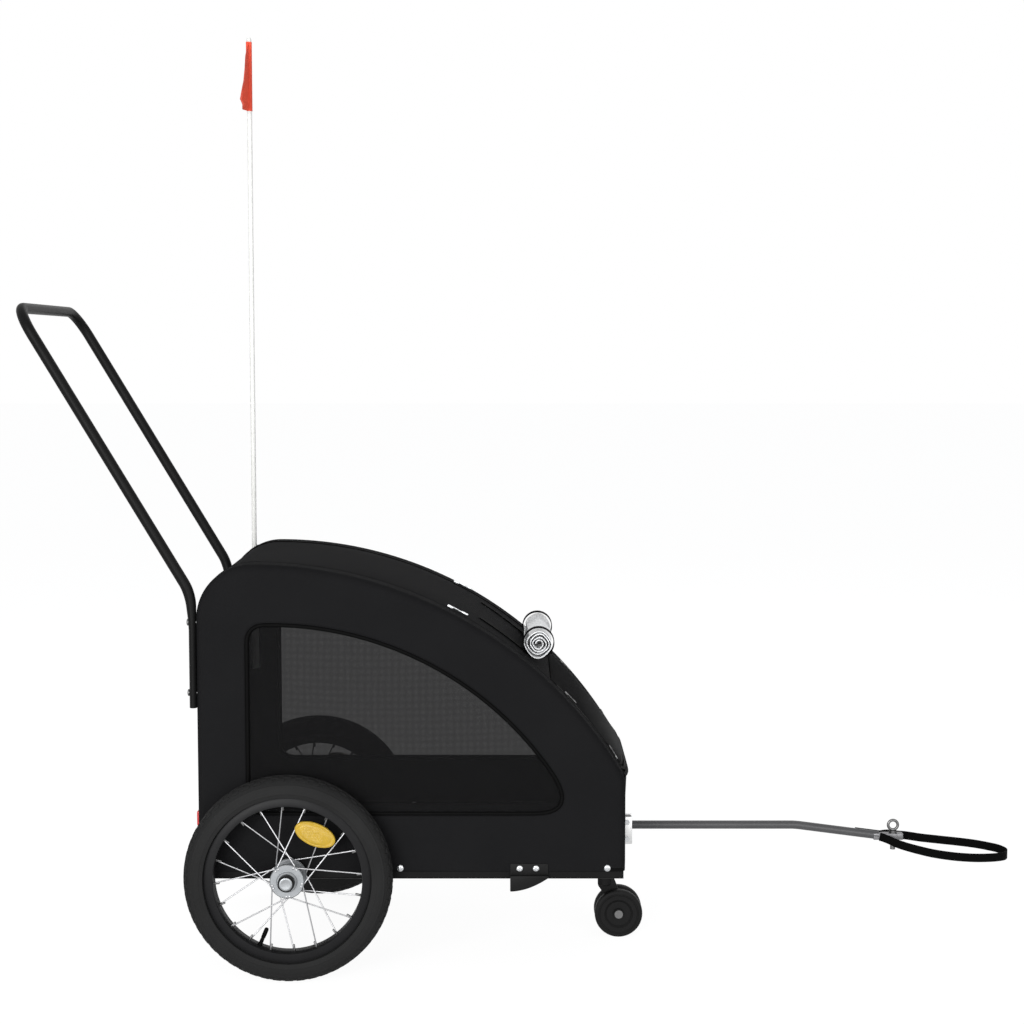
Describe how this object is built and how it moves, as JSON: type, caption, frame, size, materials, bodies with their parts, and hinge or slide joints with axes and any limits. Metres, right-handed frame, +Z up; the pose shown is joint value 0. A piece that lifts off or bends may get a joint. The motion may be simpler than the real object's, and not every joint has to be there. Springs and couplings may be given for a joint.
{
  "type": "dog bike trailer",
  "caption": "Low fabric cabin with mesh windows on a steel frame, with spoked wheels, a front caster, a push handle, a flag and a tow bar with a safety strap, for a dog behind a bicycle.",
  "frame": {"origin": "on the ground under the middle of the overall length, on the centre line", "axes": "+X forward along the tow bar, +Y to the trailer's left, +Z up"},
  "size_m": [1.5027, 0.5306, 1.42],
  "materials": {
    "tyre_rubber": "black rubber with a moulded tread",
    "black_rim": "gloss black paint",
    "silver_hub": "turned aluminium",
    "bearing_steel": "ground steel",
    "spoke_steel": "drawn zinc-plated wire",
    "amber_lens": "amber prismatic plastic",
    "black_rubber": "black rubber",
    "black_plastic": "moulded black plastic",
    "axle_black": "black coated head and axle",
    "black_frame": "black powder coat",
    "cover_fabric": "black coated polyester weave",
    "window_mesh": "grey fine mesh",
    "door_mesh": "black fine mesh",
    "caster_tread": "black moulded wheel",
    "zinc": "bright zinc plate",
    "floor_wood": "dark-faced plywood",
    "mat_fabric": "black quilted mat",
    "clear_film": "clear flexible film",
    "black_webbing": "black woven webbing",
    "red_lens": "red prismatic plastic",
    "white_rod": "white glass-fibre rod",
    "flag_cloth": "orange-red pennant cloth",
    "bracket_metal": "bare zinc-plated plate",
    "bar_grey": "grey painted bar"
  },
  "bodies": {
    "frame": {"left_side_bracket": "black_plastic", "left_axle": "axle_black", "left_axle_sleeve": "black_frame", "left_base_rail": "black_frame", "left_side_hoop": "black_frame", "left_side_panel": "cover_fabric", "left_window_mesh": "window_mesh", "right_side_bracket": "black_plastic", "right_axle": "axle_black", "right_axle_sleeve": "black_frame", "right_base_rail": "black_frame", "right_side_hoop": "black_frame", "right_side_panel": "cover_fabric", "right_window_mesh": "window_mesh", "body_screws": "zinc", "handle_bolts": "zinc", "tow_bolts": "zinc", "base_cross_rails": "black_frame", "axle_beam": "black_frame", "hoop_cross_tubes": "black_frame", "push_handle": "black_frame", "floor_board": "floor_wood", "floor_mat": "mat_fabric", "roof_cover": "cover_fabric", "front_panel": "cover_fabric", "rain_cover_roll": "clear_film", "cover_straps": "black_webbing", "safety_strap": "black_webbing", "rear_reflectors": "red_lens", "flag_sleeve": "white_rod", "tow_bracket": "bracket_metal", "hitch_tongue": "bracket_metal", "tow_bar": "bar_grey", "caster_socket": "black_frame"},
    "left_wheel": {"left_tyre": "tyre_rubber", "left_rim": "black_rim", "left_hub": "silver_hub", "left_bearings": "bearing_steel", "left_spokes": "spoke_steel", "left_wheel_reflector": "amber_lens", "left_valve": "black_rubber"},
    "left_button": {"left_release_button": "silver_hub"},
    "right_wheel": {"right_tyre": "tyre_rubber", "right_rim": "black_rim", "right_hub": "silver_hub", "right_bearings": "bearing_steel", "right_spokes": "spoke_steel", "right_wheel_reflector": "amber_lens", "right_valve": "black_rubber"},
    "right_button": {"right_release_button": "silver_hub"},
    "caster": {"caster_body": "black_plastic", "caster_stem": "zinc", "caster_axle": "zinc"},
    "caster_left_wheel": {"left_caster_wheel": "caster_tread"},
    "caster_right_wheel": {"right_caster_wheel": "caster_tread"},
    "door": {"front_door": "door_mesh"},
    "flag_mast": {"flag_pole": "white_rod", "flag": "flag_cloth"},
    "towing_pin": {"hitch_pin": "zinc"}
  },
  "joints": [
    {"name": "left_wheel_spin", "type": "hinge", "parent": "frame", "child": "left_wheel", "pos_m": [-0.35365, 0.23, 0.1525], "axis": [0, 1, 0], "continuous": true},
    {"name": "left_button_push", "type": "slide", "parent": "frame", "child": "left_button", "axis": [0, -1, 0], "range_m": [0, 0.005], "stiffness_N_per_m": 900, "springref_m": -0.003},
    {"name": "right_wheel_spin", "type": "hinge", "parent": "frame", "child": "right_wheel", "pos_m": [-0.35365, -0.23, 0.1525], "axis": [0, 1, 0], "continuous": true},
    {"name": "right_button_push", "type": "slide", "parent": "frame", "child": "right_button", "axis": [0, 1, 0], "range_m": [0, 0.005], "stiffness_N_per_m": 900, "springref_m": -0.003},
    {"name": "caster_swivel", "type": "hinge", "parent": "frame", "child": "caster", "pos_m": [0.11835, 0, 0.098], "axis": [0, 0, 1], "continuous": true},
    {"name": "caster_left_roll", "type": "hinge", "parent": "caster", "child": "caster_left_wheel", "pos_m": [0.13935, 0.0139, 0.0375], "axis": [0, 1, 0], "continuous": true},
    {"name": "caster_right_roll", "type": "hinge", "parent": "caster", "child": "caster_right_wheel", "pos_m": [0.13935, -0.0139, 0.0375], "axis": [0, 1, 0], "continuous": true},
    {"name": "door_lift", "type": "hinge", "parent": "frame", "child": "door", "pos_m": [0.02902, 0, 0.43071], "axis": [0, -1, 0], "range_deg": [0, 105]},
    {"name": "flag_lift", "type": "slide", "parent": "frame", "child": "flag_mast", "axis": [0, 0, 1], "range_m": [0, 0.07]},
    {"name": "pin_lift", "type": "slide", "parent": "frame", "child": "towing_pin", "axis": [0, 0, 1], "range_m": [0, 0.03]}
  ]
}
